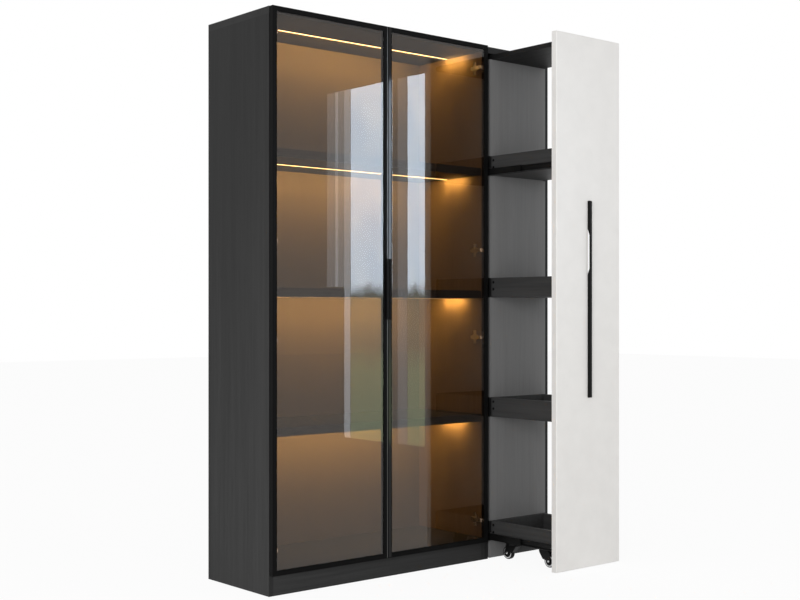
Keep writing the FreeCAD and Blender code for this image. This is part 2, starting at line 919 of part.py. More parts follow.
def bumper(across, level):
    """A soft square pad on the carcass front that a closing door meets."""
    half = dim.bumper_size / 2
    return block("bumper", (dim.bumper_size, dim.bumper_thickness, dim.bumper_size),
                 (across - half, -dim.bumper_thickness, level - half))


keep(group("door_bumpers", [
    bumper(dim.glass_module_width / 2 + side * dim.bumper_spacing / 2, level)
    for side in (-1, 1)
    for level in (dim.plinth_height + dim.board_thickness / 2,
                  dim.overall_height - dim.top_thickness / 2)
]))


# ---------------------------------------------------------------- pull-out bookcase

handle_x = panel_left + panel_width / 2 - dim.handle_width / 2


def front_panel():
    """The tall white front, with the edges of its face softened."""
    body = new_body("front_panel")
    face = sketch_on(body, "XZ_Plane")
    rectangle(face, (0, 0), (panel_width, panel_height))
    slab = pad(body, face, dim.panel_thickness, back=True)
    rounded(body, slab, dim.panel_edge_radius, lambda edge: near(edge.CenterOfMass.y, 0))
    place(body, (panel_left, panel_front, dim.panel_floor_gap))
    return body


def pull_handle():
    """A long bar on the front, scooped behind so that fingers reach round it."""
    body = new_body("pull_handle")
    side = sketch_on(body, "YZ_Plane")
    rectangle(side, (-dim.handle_projection, 0), (0, dim.handle_length))
    bar = pad(body, side, dim.handle_width)
    bar = rounded(body, bar, dim.handle_end_radius,
                  lambda edge: runs_along(edge, ALONG_X)
                  and near(edge.CenterOfMass.y, -dim.handle_projection))
    bevelled(body, bar, dim.handle_edge_bevel,
             lambda edge: runs_along(edge, ALONG_Z)
             and near(edge.CenterOfMass.y, -dim.handle_projection))
    scoop = sketch_on(body, "YZ_Plane")
    finish = dim.scoop_start + dim.scoop_length
    ring(scoop, [
        (0, dim.scoop_start), (-dim.scoop_depth, dim.scoop_start + dim.scoop_run),
        (-dim.scoop_depth, finish - dim.scoop_run), (0, finish),
    ])
    hollow = pocket(body, scoop, dim.handle_width, back=True)
    levels = (dim.scoop_start, dim.scoop_start + dim.scoop_run, finish - dim.scoop_run, finish)
    rounded(body, hollow, dim.scoop_radius,
            lambda edge: runs_along(edge, ALONG_X)
            and any(near(edge.CenterOfMass.z, level) for level in levels))
    place(body, (handle_x, panel_front, dim.handle_base_level))
    return body


keep(front_panel())
keep(pull_handle())
keep(block("pullout_top_board",
           (pullout_width, body_depth, dim.board_thickness),
           (pullout_left, panel_back, pullout_top - dim.board_thickness)))

rear_panel_edges = ((rear_panel_left, 1), (rear_panel_right, -1))


def edge_block(label, edge_x, inward, low_z, height):
    """A block as thick as the rear panel, set into one of its standing edges."""
    near_x = edge_x if inward > 0 else edge_x - dim.corner_block_width
    return block(label, (dim.corner_block_width, dim.board_thickness, height),
                 (near_x, rear_panel_front, low_z))


def rear_panel():
    """The standing panel at the rear, notched at every tray for connectors and slides."""
    base_z = dim.panel_floor_gap
    blank = block("rear_panel_blank",
                  (rear_panel_right - rear_panel_left, dim.board_thickness,
                   pullout_top - dim.board_thickness - base_z),
                  (rear_panel_left, rear_panel_front, base_z))
    notches = []
    for tray_name, level in tray_levels.items():
        drop = dim.slide_notch_clearance if tray_name in slide_trays else 0
        notches += [
            edge_block("rear_panel_notch", edge_x, inward, level - drop,
                       dim.tray_side_height + drop)
            for edge_x, inward in rear_panel_edges
        ]
    return carve("pullout_rear_panel", blank, notches)


def corner_blocks():
    """The connectors in the notches, which stop short of the slides where these pass."""
    slide_space = 2 * dim.slide_half_height + dim.slide_notch_clearance
    blocks = []
    for tray_name, level in tray_levels.items():
        lift = slide_space if tray_name in slide_trays else 0
        blocks += [
            edge_block("corner_block", edge_x, inward, level + lift,
                       dim.tray_side_height - lift)
            for edge_x, inward in rear_panel_edges
        ]
    return group("tray_corner_blocks", blocks)


keep(rear_panel())
keep(corner_blocks())


def tray(name, level):
    """An open box of five boards: two sides, two ends between them, and a base inside."""
    inner_left = pullout_left + dim.tray_board
    inner_length = pullout_width - 2 * dim.tray_board
    side_spans = (dim.tray_board, tray_length, dim.tray_side_height)
    end_spans = (inner_length, dim.tray_board, dim.tray_side_height)
    rear_y = rear_panel_front - dim.tray_board
    base_spans = (inner_length, tray_length - 2 * dim.tray_board, dim.tray_board)
    return group(name, [
        block(f"{name}_left", side_spans, (pullout_left, panel_back, level)),
        block(f"{name}_right", side_spans, (pullout_right - dim.tray_board, panel_back, level)),
        block(f"{name}_front", end_spans, (inner_left, panel_back, level)),
        block(f"{name}_rear", end_spans, (inner_left, rear_y, level)),
        block(f"{name}_base", base_spans, (inner_left, panel_back + dim.tray_board, level)),
    ])


for tray_name, tray_level in tray_levels.items():
    keep(tray(f"tray_{tray_name}", tray_level))


# ---------------------------------------------------------------- telescopic slides
# Each slide is three nested channels. Their sections are drawn for the bay's left wall,
# with y from the wall's face and z from the slide's mid height, and pushed along X.

def slide_member(label, web_start, depth, half_height, opens_outward):
    """A channel section; opens_outward is True when it opens towards the bay's wall."""
    body = new_body(label)
    sketch = sketch_on(body, "XZ_Plane")
    wall = dim.slide_wall
    end = web_start + depth
    inner = half_height - wall
    if opens_outward:
        ring(sketch, [
            (end, -half_height), (end, half_height), (web_start, half_height),
            (web_start, inner), (end - wall, inner), (end - wall, -inner),
            (web_start, -inner), (web_start, -half_height),
        ])
    else:
        ring(sketch, [
            (web_start, -half_height), (web_start, half_height), (end, half_height),
            (end, inner), (web_start + wall, inner), (web_start + wall, -inner),
            (end, -inner), (end, -half_height),
        ])
    pad(body, sketch, slide_length, back=True)
    return body


def slide_set(label, master, start_y):
    """One member at each slide level, on the left wall and turned round on the right."""
    spots = []
    for tray_name in slide_trays:
        middle_z = tray_levels[tray_name] + dim.slide_half_height
        spots.append(((bay_inner_left, start_y, middle_z), AS_DRAWN))
        spots.append(((bay_inner_right, start_y + slide_length, middle_z), TURNED_ROUND))
    return keep(repeat(label, master, spots))


middle_half = dim.slide_half_height - dim.slide_step
inner_half = middle_half - dim.slide_step
slide_set("slide_channels",
          slide_member("slide_channel", 0, dim.slide_flange, dim.slide_half_height, False), 0)
slide_set("slide_middle_members",
          slide_member("slide_middle_member", dim.slide_middle_offset, dim.slide_middle_depth,
                       middle_half, False),
          -pullout_travel / 2)
slide_set("slide_inner_members",
          slide_member("slide_inner_member", dim.slide_space - dim.slide_inner_depth,
                       dim.slide_inner_depth, inner_half, True),
          -pullout_travel)


# ---------------------------------------------------------------- casters
# Drawn with the swivel axis at x = y = 0, the floor at z = 0 and the wheel towards +Y.

def caster_plate():
    """The mounting plate and the headed kingpin that the fork turns on."""
    body = new_body("caster_plate")
    half = dim.caster_plate_size / 2
    corner = half - dim.caster_plate_corner
    plate_z = dim.caster_height - dim.caster_plate_thickness
    head_top = dim.fork_crown_level - dim.hinge_side_clearance
    head_bottom = head_top - dim.kingpin_head_height
    outline = sketch_on(body, "XY_Plane", plate_z)
    ring(outline, [
        (-half, -corner), (-corner, -half), (corner, -half), (half, -corner),
        (half, corner), (corner, half), (-corner, half), (-half, corner),
    ])
    pad(body, outline, dim.caster_plate_thickness)
    kingpin = sketch_on(body, "XZ_Plane")
    ring(kingpin, [
        (0, plate_z), (dim.kingpin_radius, plate_z), (dim.kingpin_radius, head_top),
        (dim.kingpin_head_radius, head_top), (dim.kingpin_head_radius, head_bottom),
        (0, head_bottom),
    ])
    turned(body, kingpin, "V_Axis")
    return body


CROWN_SIDES = 16


def crown_outline():
    """The fork crown's outline: a near circle of short straight sides."""
    steps = [Size(360 * (side + 0.5) / CROWN_SIDES, str(360 * (side + 0.5) / CROWN_SIDES))
             for side in range(CROWN_SIDES)]
    return [(dim.fork_crown_radius * cosine(step), dim.fork_crown_radius * sine(step))
            for step in steps]


def caster_fork():
    """A crown, a hood of two cheeks and a front that trails to the axle, and the axle."""
    body = new_body("caster_fork")
    crown_top = dim.fork_crown_level + dim.fork_crown_height
    outer = dim.fork_inner_half + dim.fork_wall
    crown_edge = dim.fork_crown_radius - dim.fork_wall
    shoulder_z = dim.fork_crown_level - dim.fork_shoulder_drop
    trail = dim.caster_trail
    axle_z = dim.wheel_radius
    lug = dim.fork_lug
    cheek = sketch_on(body, "YZ_Plane")
    ring(cheek, [
        (-crown_edge, dim.fork_crown_level), (-crown_edge, shoulder_z),
        (-dim.hood_mouth_reach, dim.hood_tip_level), (trail - lug, axle_z),
        (trail - lug / 2, axle_z - lug),
        (trail + lug / 2, axle_z - lug), (trail + lug, axle_z),
        (dim.fork_crown_radius, shoulder_z), (crown_edge, dim.fork_crown_level),
    ])
    pad(body, cheek, 2 * outer, both=True)
    mouth = sketch_on(body, "YZ_Plane")
    reach = 2 * dim.wheel_radius
    rectangle(mouth, (-dim.hood_mouth_reach, -dim.fork_wall), (reach, dim.fork_crown_level))
    pocket(body, mouth, 2 * dim.fork_inner_half, both=True)
    crown = sketch_on(body, "XY_Plane", dim.fork_crown_level)
    ring(crown, crown_outline())
    pad(body, crown, dim.fork_crown_height)
    bore = sketch_on(body, "XY_Plane", dim.fork_crown_level)
    disc(bore, (0, 0), dim.kingpin_radius + dim.kingpin_clearance)
    pocket(body, bore, 4 * dim.fork_crown_height, both=True)
    axle = sketch_on(body, "YZ_Plane")
    disc(axle, (trail, axle_z), dim.axle_radius)
    pad(body, axle, 2 * (outer + dim.axle_end), both=True)
    return body


def caster_wheel():
    """A tyre and hub in one, bored to turn on the axle."""
    body = new_body("caster_wheel")
    half = dim.wheel_width / 2
    bore = dim.axle_radius + dim.running_clearance
    sketch = sketch_on(body, "XY_Plane")
    rectangle(sketch, (-half, bore), (half, dim.wheel_radius))
    turned(body, sketch, "H_Axis")
    return body


keep(repeat("caster_plates", caster_plate(), [
    ((across, along, 0), AS_DRAWN) for across, along, towards in caster_spots.values()
]))
fork_master = caster_fork()
wheel_master = caster_wheel()
for caster_name, (across, along, towards) in caster_spots.items():
    turn = AS_DRAWN if towards > 0 else TURNED_ROUND
    wheel_spot = ((across, along + towards * dim.caster_trail, dim.wheel_radius), AS_DRAWN)
    keep(repeat(f"caster_fork_{caster_name}", fork_master, [((across, along, 0), turn)]))
    keep(repeat(f"caster_wheel_{caster_name}", wheel_master, [wheel_spot]))


# ---------------------------------------------------------------- check and write

def check_document():
    """Stop on any object that failed, and on any sub-part that is not a sound solid."""
    doc.recompute()
    for thing in doc.Objects:
        assert "Invalid" not in thing.State and "Error" not in thing.State, thing.Label
    labels = [thing.Label for thing in parts]
    assert len(set(labels)) == len(labels) <= 60
    for thing in parts:
        assert not thing.Shape.isNull() and thing.Shape.isValid(), thing.Label
        assert thing.Shape.Solids and thing.Shape.Volume > 0, thing.Label


def write_parts():
    os.makedirs("parts", exist_ok=True)
    for thing in parts:
        thing.Shape.exportStep(f"parts/{thing.Label}.step")


check_document()
write_parts()
print(f"{len(parts)} sub-parts, {sum(len(thing.Shape.Solids) for thing in parts)} solids")
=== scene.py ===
"""Looks for the bookcase with glass doors and a pull-out bookcase."""

import json
import math

import bmesh
import bpy
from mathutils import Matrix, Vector

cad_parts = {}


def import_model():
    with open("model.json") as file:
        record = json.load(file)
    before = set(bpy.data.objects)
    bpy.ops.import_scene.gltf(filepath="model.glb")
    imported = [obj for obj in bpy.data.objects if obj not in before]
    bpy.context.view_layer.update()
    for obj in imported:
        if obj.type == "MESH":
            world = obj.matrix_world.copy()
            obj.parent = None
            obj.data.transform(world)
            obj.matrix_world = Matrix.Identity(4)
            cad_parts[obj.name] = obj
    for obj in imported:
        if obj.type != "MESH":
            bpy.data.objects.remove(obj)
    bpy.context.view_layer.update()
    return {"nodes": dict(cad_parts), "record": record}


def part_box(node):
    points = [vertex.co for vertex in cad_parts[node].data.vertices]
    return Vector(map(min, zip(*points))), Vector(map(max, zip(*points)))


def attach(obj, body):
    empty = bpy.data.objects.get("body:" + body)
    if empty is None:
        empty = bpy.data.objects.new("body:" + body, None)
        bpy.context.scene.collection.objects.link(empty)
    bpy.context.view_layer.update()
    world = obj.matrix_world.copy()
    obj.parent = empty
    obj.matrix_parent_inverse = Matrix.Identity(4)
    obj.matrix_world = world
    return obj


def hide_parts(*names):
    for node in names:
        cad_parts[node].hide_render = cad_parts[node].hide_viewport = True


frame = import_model()
nodes = frame["nodes"]
behaviour = frame["record"]["behaviour"]

# ---------------------------------------------------------------- the cabinet's own measures
# Places are written in millimetres from the cabinet's left outer face, its front edge
# and the floor, as a joiner would, and turned here into the frame's metres.

MILLIMETRE = 0.001
ORIGIN = Vector(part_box("side_panel_left")[0])


def place(across, deep, up):
    """A point of the cabinet in the frame's metres."""
    return ORIGIN + Vector((across, deep, up)) * MILLIMETRE


def corners(node):
    """A node's lowest and highest corners in the cabinet's millimetres."""
    return [(Vector(corner) - ORIGIN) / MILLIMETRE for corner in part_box(node)]


CASTER_SPOTS = ("front_left", "front_right", "rear_left", "rear_right")


# ---------------------------------------------------------------- colours

def shade(red, green, blue):
    """A display colour, 0 to 255, as the linear colour that a shader takes."""
    def channel(value):
        value /= 255
        return value / 12.92 if value <= 0.04045 else ((value + 0.055) / 1.055) ** 2.4
    return (channel(red), channel(green), channel(blue), 1.0)


def grey(value):
    """A display grey, 0 to 255, as a linear colour."""
    return shade(value, value, value)


# ---------------------------------------------------------------- shader nodes
# The Mix node has a set of sockets for each kind of data. These are its colour sockets.

MIX_FACTOR = 0
MIX_FIRST = 6
MIX_SECOND = 7
MIX_RESULT = 2


def feed(tree, target, value):
    """Link a socket to a target socket, or set the target to a constant."""
    if isinstance(value, bpy.types.NodeSocket):
        tree.links.new(value, target)
    else:
        target.default_value = value


def maths(tree, operation, first, second):
    """A Math node on two sockets or numbers; gives its output."""
    node = tree.nodes.new("ShaderNodeMath")
    node.operation = operation
    feed(tree, node.inputs[0], first)
    feed(tree, node.inputs[1], second)
    return node.outputs[0]


def times(tree, vector, factors):
    """A vector times a factor for each axis."""
    node = tree.nodes.new("ShaderNodeVectorMath")
    node.operation = "MULTIPLY"
    feed(tree, node.inputs[0], vector)
    feed(tree, node.inputs[1], factors)
    return node.outputs[0]


def piece_coordinates(tree):
    """The piece's own coordinates, in metres, which move with it."""
    return tree.nodes.new("ShaderNodeTexCoord").outputs["Object"]


def noise(tree, vector, scale, detail, roughness=0.5):
    """Soft noise between 0 and 1 over a vector."""
    node = tree.nodes.new("ShaderNodeTexNoise")
    feed(tree, node.inputs["Vector"], vector)
    feed(tree, node.inputs["Scale"], scale)
    node.inputs["Detail"].default_value = detail
    node.inputs["Roughness"].default_value = roughness
    return node.outputs["Fac"]


def blend_colour(tree, factor, first, second):
    """The first colour where the factor is 0, and the second where it is 1."""
    node = tree.nodes.new("ShaderNodeMix")
    node.data_type = "RGBA"
    feed(tree, node.inputs[MIX_FACTOR], factor)
    feed(tree, node.inputs[MIX_FIRST], first)
    feed(tree, node.inputs[MIX_SECOND], second)
    return node.outputs[MIX_RESULT]


def spread(tree, value, low, high, to_low=0.0, to_high=1.0):
    """A value stretched from one span to another, and held inside it."""
    node = tree.nodes.new("ShaderNodeMapRange")
    feed(tree, node.inputs["Value"], value)
    node.inputs["From Min"].default_value = low
    node.inputs["From Max"].default_value = high
    node.inputs["To Min"].default_value = to_low
    node.inputs["To Max"].default_value = to_high
    return node.outputs["Result"]


def blend_surfaces(tree, factor, first, second):
    """Send a mix of two surfaces to a material's output."""
    mix = tree.nodes.new("ShaderNodeMixShader")
    tree.links.new(factor, mix.inputs[0])
    tree.links.new(first.outputs[0], mix.inputs[1])
    tree.links.new(second.outputs[0], mix.inputs[2])
    tree.links.new(mix.outputs[0], tree.nodes["Material Output"].inputs["Surface"])


def seen_rays(tree):
    """1 on rays that reach the eye, also by mirrors and through glass, and 0 on others."""
    path = tree.nodes.new("ShaderNodeLightPath")
    return maths(tree, "MAXIMUM", path.outputs["Is Camera Ray"],
                 maths(tree, "MAXIMUM", path.outputs["Is Glossy Ray"],
                       path.outputs["Is Transmission Ray"]))


# ---------------------------------------------------------------- shader groups

SOCKET_KINDS = {
    "colour": "NodeSocketColor",
    "value": "NodeSocketFloat",
    "vector": "NodeSocketVector",
}


def new_group(name, inputs, outputs):
    """An empty shader group with its sockets, and its two end nodes."""
    group = bpy.data.node_groups.new(name, "ShaderNodeTree")
    for label, kind, default in inputs:
        socket = group.interface.new_socket(name=label, in_out="INPUT",
                                            socket_type=SOCKET_KINDS[kind])
        socket.default_value = default
    for label, kind in outputs:
        group.interface.new_socket(name=label, in_out="OUTPUT", socket_type=SOCKET_KINDS[kind])
    return group, group.nodes.new("NodeGroupInput"), group.nodes.new("NodeGroupOutput")


def wood_grain():
    """Printed ash grain: broad bands, long fine streaks and short pores along one axis."""
    group, into, out = new_group(
        "wood_grain",
        [("Light", "colour", (0.06, 0.06, 0.06, 1)), ("Dark", "colour", (0.02, 0.02, 0.02, 1)),
         ("Stretch", "vector", (1, 1, 1)), ("Contrast", "value", 1.0)],
        [("Colour", "colour"), ("Roughness", "value"), ("Height", "value")])
    where = times(group, piece_coordinates(group), into.outputs["Stretch"])
    bands = noise(group, where, scale=9, detail=3, roughness=0.6)
    streaks = noise(group, where, scale=70, detail=4, roughness=0.65)
    pores = spread(group, noise(group, where, scale=230, detail=2), 0.56, 0.7)
    mixed = maths(group, "ADD", maths(group, "MULTIPLY", bands, 0.45),
                  maths(group, "MULTIPLY", streaks, 0.55))
    figure = spread(group, mixed, 0.32, 0.66)
    faded = maths(group, "MULTIPLY", maths(group, "SUBTRACT", 1.0, figure),
                  into.outputs["Contrast"])
    colour = blend_colour(group, faded, into.outputs["Light"], into.outputs["Dark"])
    pored = blend_colour(group, maths(group, "MULTIPLY", pores, 0.45), colour,
                         into.outputs["Dark"])
    rough = maths(group, "ADD", 0.44, maths(group, "MULTIPLY", streaks, 0.16))
    height = maths(group, "SUBTRACT", maths(group, "MULTIPLY", streaks, 0.5), pores)
    group.links.new(pored, out.inputs["Colour"])
    group.links.new(rough, out.inputs["Roughness"])
    group.links.new(height, out.inputs["Height"])
    return group


def fine_finish():
    """Small unevenness of a painted, moulded or metal surface, and faint handling marks."""
    group, into, out = new_group(
        "fine_finish",
        [("Stretch", "vector", (1, 1, 1)), ("Scale", "value", 400.0),
         ("Roughness", "value", 0.4), ("Spread", "value", 0.1)],
        [("Mask", "value"), ("Roughness", "value"), ("Height", "value")])
    where = times(group, piece_coordinates(group), into.outputs["Stretch"])
    fine = noise(group, where, scale=into.outputs["Scale"], detail=3)
    marks = noise(group, where, scale=11, detail=4, roughness=0.6)
    shift = maths(group, "SUBTRACT", maths(group, "ADD", fine, marks), 1.0)
    rough = maths(group, "ADD", into.outputs["Roughness"],
                  maths(group, "MULTIPLY", shift, into.outputs["Spread"]))
    group.links.new(marks, out.inputs["Mask"])
    group.links.new(rough, out.inputs["Roughness"])
    group.links.new(fine, out.inputs["Height"])
    return group


GRAIN = wood_grain()
FINISH = fine_finish()


# ---------------------------------------------------------------- materials

def new_material(name):
    """A material with its node tree and its Principled shader."""
    material = bpy.data.materials.new(name)
    material.use_nodes = True
    tree = material.node_tree
    return material, tree, tree.nodes["Principled BSDF"]


def use_group(tree, group, **settings):
    """A node that runs a shader group with some of its inputs set."""
    node = tree.nodes.new("ShaderNodeGroup")
    node.node_tree = group
    for label, value in settings.items():
        node.inputs[label].default_value = value
    return node


def bump(tree, shader, height, strength, distance):
    """Shade a surface as if a height, over a distance in metres, stood out of it."""
    node = tree.nodes.new("ShaderNodeBump")
    node.inputs["Strength"].default_value = strength
    node.inputs["Distance"].default_value = distance
    tree.links.new(height, node.inputs["Height"])
    tree.links.new(node.outputs["Normal"], shader.inputs["Normal"])


def laminate(name, light, dark, stretch, contrast=1.0):
    """Matt wood-grain laminate; the stretch is small along the grain."""
    material, tree, shader = new_material(name)
    grain = use_group(tree, GRAIN, Light=light, Dark=dark, Stretch=stretch, Contrast=contrast)
    tree.links.new(grain.outputs["Colour"], shader.inputs["Base Color"])
    tree.links.new(grain.outputs["Roughness"], shader.inputs["Roughness"])
    shader.inputs["Specular IOR Level"].default_value = 0.14
    bump(tree, shader, grain.outputs["Height"], strength=0.25, distance=0.0002)
    return material


def painted_glow_face(material, light, dark, edge_light, edge_dark):
    """Paint the light lines' warm glow as a brown tone on the face that looks left, into the
    cabinet, and give the rest their own tone.
    """
    tree = material.node_tree
    grain = tree.nodes["Group"]
    where = tree.nodes.new("ShaderNodeTexCoord")
    parts = tree.nodes.new("ShaderNodeSeparateXYZ")
    tree.links.new(where.outputs["Normal"], parts.inputs[0])
    faces_left = spread(tree, parts.outputs["X"], -0.6, -0.4, 1.0, 0.0)
    for label, inner, edge in (("Light", light, edge_light), ("Dark", dark, edge_dark)):
        tree.links.new(blend_colour(tree, faces_left, edge, inner), grain.inputs[label])


def finished(name, colour, darker, roughness, scale=400.0, stretch=(1, 1, 1), metallic=0.0,
             rough_spread=0.1, relief=0.05, specular=0.5):
    """A painted, moulded or metal finish with small changes of tone and gloss."""
    material, tree, shader = new_material(name)
    finish = use_group(tree, FINISH, Stretch=stretch, Scale=scale, Roughness=roughness,
                       Spread=rough_spread)
    tone = spread(tree, finish.outputs["Mask"], 0.35, 0.65)
    tree.links.new(blend_colour(tree, tone, darker, colour), shader.inputs["Base Color"])
    tree.links.new(finish.outputs["Roughness"], shader.inputs["Roughness"])
    shader.inputs["Metallic"].default_value = metallic
    shader.inputs["Specular IOR Level"].default_value = specular
    bump(tree, shader, finish.outputs["Height"], strength=relief, distance=0.0003)
    return material


def bronze_glass():
    """Tinted pane: lamps and soft light pass straight through, and the eye sees its gloss."""
    material, tree, shader = new_material("bronze_glass")
    tint = shade(214, 200, 188)
    shader.inputs["Base Color"].default_value = tint
    shader.inputs["Transmission Weight"].default_value = 1.0
    shader.inputs["Roughness"].default_value = 0.0
    shader.inputs["IOR"].default_value = 1.45
    clear = tree.nodes.new("ShaderNodeBsdfTransparent")
    clear.inputs["Color"].default_value = tint
    path = tree.nodes.new("ShaderNodeLightPath")
    lamps = maths(tree, "MAXIMUM", path.outputs["Is Shadow Ray"], path.outputs["Is Diffuse Ray"])
    blend_surfaces(tree, lamps, shader, clear)
    return material


def lit_diffuser():
    """A warm light strip's cover, a little uneven along its length."""
    material, tree, shader = new_material("lit_diffuser")
    unevenness = noise(tree, piece_coordinates(tree), scale=24, detail=2)
    glow = spread(tree, unevenness, 0.3, 0.7)
    warm = blend_colour(tree, glow, shade(255, 208, 134), shade(255, 222, 160))
    tree.links.new(warm, shader.inputs["Emission Color"])
    shader.inputs["Emission Strength"].default_value = 8.0
    shader.inputs["Base Color"].default_value = shade(255, 240, 214)
    shader.inputs["Roughness"].default_value = 0.5
    return material


UPRIGHT_GRAIN = (1, 1, 0.03)
ACROSS_GRAIN = (0.03, 1, 1)
DEEP_GRAIN = (1, 0.03, 1)
BRUSHED_UPRIGHT = (1, 1, 0.02)
BRUSHED_ACROSS = (0.02, 1, 1)

charcoal_upright = laminate("charcoal_upright", grey(38), grey(22), UPRIGHT_GRAIN)
charcoal_across = laminate("charcoal_across", grey(47), grey(32), ACROSS_GRAIN)
charcoal_deep = laminate("charcoal_deep", grey(30), grey(20), DEEP_GRAIN)
tray_laminate = laminate("tray_laminate", grey(68), grey(52), DEEP_GRAIN)
back_laminate = laminate("back_laminate", shade(76, 72, 65), shade(62, 58, 52), UPRIGHT_GRAIN, 0.7)
charcoal_painted_glow = laminate("charcoal_painted_glow", grey(41), grey(28), UPRIGHT_GRAIN)
# The brown on the middle panel's inward face is painted warm light from the light lines; its other
# faces keep the charcoal tone.
painted_glow_face(charcoal_painted_glow, shade(92, 81, 68), shade(74, 65, 54), grey(41), grey(28))
grey_panel = laminate("grey_panel", grey(127), grey(113), UPRIGHT_GRAIN, 0.6)

frame_black = finished("frame_black", grey(18), grey(12), 0.4, scale=900,
                       stretch=BRUSHED_UPRIGHT, rough_spread=0.08, specular=0.03)
pull_black = finished("pull_black", grey(16), grey(10), 0.36, specular=0.05)
handle_black = finished("handle_black", grey(22), grey(14), 0.32, scale=700,
                        stretch=UPRIGHT_GRAIN, specular=0.07)
rubber_black = finished("rubber_black", grey(18), grey(12), 0.7, relief=0.2, specular=0.3)
nickel = finished("nickel", shade(226, 223, 216), shade(208, 204, 196), 0.26, metallic=1.0,
                  rough_spread=0.08)
slide_steel = finished("slide_steel", grey(22), grey(14), 0.38, specular=0.2)
channel_aluminium = finished("channel_aluminium", grey(200), grey(184), 0.34, scale=900,
                             stretch=BRUSHED_ACROSS, metallic=1.0)
driver_plastic = finished("driver_plastic", grey(178), grey(166), 0.5, relief=0.15)
white_lacquer = finished("white_lacquer", shade(238, 236, 233), shade(234, 232, 229), 0.42,
                         scale=260, rough_spread=0.05, relief=0.03)
black_plastic = finished("black_plastic", grey(20), grey(14), 0.5, relief=0.12)
caster_black = finished("caster_black", grey(20), grey(12), 0.36, relief=0.08, specular=0.15)
tyre_black = finished("tyre_black", grey(20), grey(12), 0.5, relief=0.1, specular=0.12)
zinc = finished("zinc", grey(206), grey(188), 0.24, metallic=1.0)
screw_black = finished("screw_black", grey(8), grey(5), 0.5, relief=0.06, specular=0.06)
polished_black = finished("polished_black", grey(14), grey(9), 0.05, scale=300, relief=0.01,
                          rough_spread=0.02, specular=0.18)
edge_aluminium = finished("edge_aluminium", grey(108), grey(94), 0.3, scale=900,
                          stretch=BRUSHED_UPRIGHT, metallic=1.0)
polished_aluminium = finished("polished_aluminium", grey(252), grey(247), 0.1, scale=300,
                              rough_spread=0.03, relief=0.01, metallic=1.0)
glass = bronze_glass()
diffuser = lit_diffuser()

NODE_MATERIALS = {
    charcoal_upright: "side_panel_left bay_side_left bay_side_right",
    charcoal_painted_glow: "side_panel_middle",
    charcoal_across: "top_board bottom_board plinth_board plinth_rear_rail bay_top_board"
                     " bay_rear_rail shelf_lower shelf_middle shelf_upper",
    charcoal_deep: "pullout_top_board",
    tray_laminate: "tray_bottom tray_lower tray_upper tray_top",
    back_laminate: "back_panel bay_back_panel",
    grey_panel: "pullout_rear_panel",
    frame_black: "door_left_frame door_right_frame",
    pull_black: "door_left_pull door_right_pull",
    handle_black: "pull_handle",
    rubber_black: "door_left_gasket door_right_gasket door_bumpers",
    nickel: "hinge_plates hinge_arms hinge_links_left hinge_links_right"
            " door_left_hinge_cups door_right_hinge_cups",
    slide_steel: "slide_channels slide_middle_members slide_inner_members",
    channel_aluminium: "led_channels",
    diffuser: "led_diffusers",
    driver_plastic: "led_driver",
    white_lacquer: "front_panel",
    black_plastic: "tray_corner_blocks",
    caster_black: "caster_plates " + " ".join(f"caster_fork_{spot}" for spot in CASTER_SPOTS),
    tyre_black: " ".join(f"caster_wheel_{spot}" for spot in CASTER_SPOTS),
    glass: "door_left_glass door_right_glass",
}
for material, names in NODE_MATERIALS.items():
    for name in names.split():
        nodes[name].data.materials.clear()
        nodes[name].data.materials.append(material)


# ---------------------------------------------------------------- building pieces

def spin(mesh, profile, centre, axis, steps, closed=False):
    """Add a profile of (radius, along) millimetres, spun round an axis through a point."""
    turn = Vector(axis).to_track_quat("Z", "X").to_matrix()
    rings = []
    for radius, along in profile:
        count = steps if radius else 1
        rings.append([
            mesh.verts.new(centre + turn @ Vector((
                radius * math.cos(2 * math.pi * step / steps),
                radius * math.sin(2 * math.pi * step / steps), along)) * MILLIMETRE)
            for step in range(count)
        ])
    pairs = list(zip(rings, rings[1:]))
    if closed:
        pairs.append((rings[-1], rings[0]))
    for low, high in pairs:
        for step in range(steps):
            after = (step + 1) % steps
            around = [low[step % len(low)], low[after % len(low)],
                      high[after % len(high)], high[step % len(high)]]
            mesh.faces.new(list(dict.fromkeys(around)))


def bar(mesh, low, high, bevel):
    """Add a straight bar between two opposite corners, with its edges broken."""
    made = bmesh.ops.create_cube(mesh, size=1)["verts"]
    middle = (low + high) / 2
    size = high - low
    for vertex in made:
        vertex.co = middle + Vector(a * b for a, b in zip(vertex.co, size))
    edges = {edge for vertex in made for edge in vertex.link_edges}
    bmesh.ops.bevel(mesh, geom=list(edges), offset=bevel * MILLIMETRE, segments=2,
                    affect="EDGES", profile=0.5)


def finish_piece(name, mesh, material, body, sharp=35):
    """Turn a built mesh into an object that rides on a body; edges over an angle stay sharp."""
    bmesh.ops.recalc_face_normals(mesh, faces=mesh.faces)
    data = bpy.data.meshes.new(name)
    mesh.to_mesh(data)
    mesh.free()
    data.polygons.foreach_set("use_smooth", [True] * len(data.polygons))
    data.set_sharp_from_angle(angle=math.radians(sharp))
    data.materials.append(material)
    piece = bpy.data.objects.new(name, data)
    bpy.context.scene.collection.objects.link(piece)
    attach(piece, body)
    return piece


def screw_head(mesh, centre, axis, radius, height):
    """A domed head with a round driving recess."""
    spin(mesh, [
        (0, 0.35 * height), (0.34 * radius, 0.35 * height), (0.4 * radius, height),
        (0.66 * radius, 0.92 * height), (0.9 * radius, 0.6 * height),
        (radius, 0.2 * height), (radius, 0), (0, 0),
    ], centre, axis, steps=20)


# ---------------------------------------------------------------- screws
# A screw's size is its head's radius and height.

TRAYS = ("tray_bottom", "tray_lower", "tray_upper", "tray_top")
TRAY_SCREW = (5.0, 1.8)
TRAY_SCREW_LIFTS = (32, 59)
TRAY_SCREW_INSET = 11


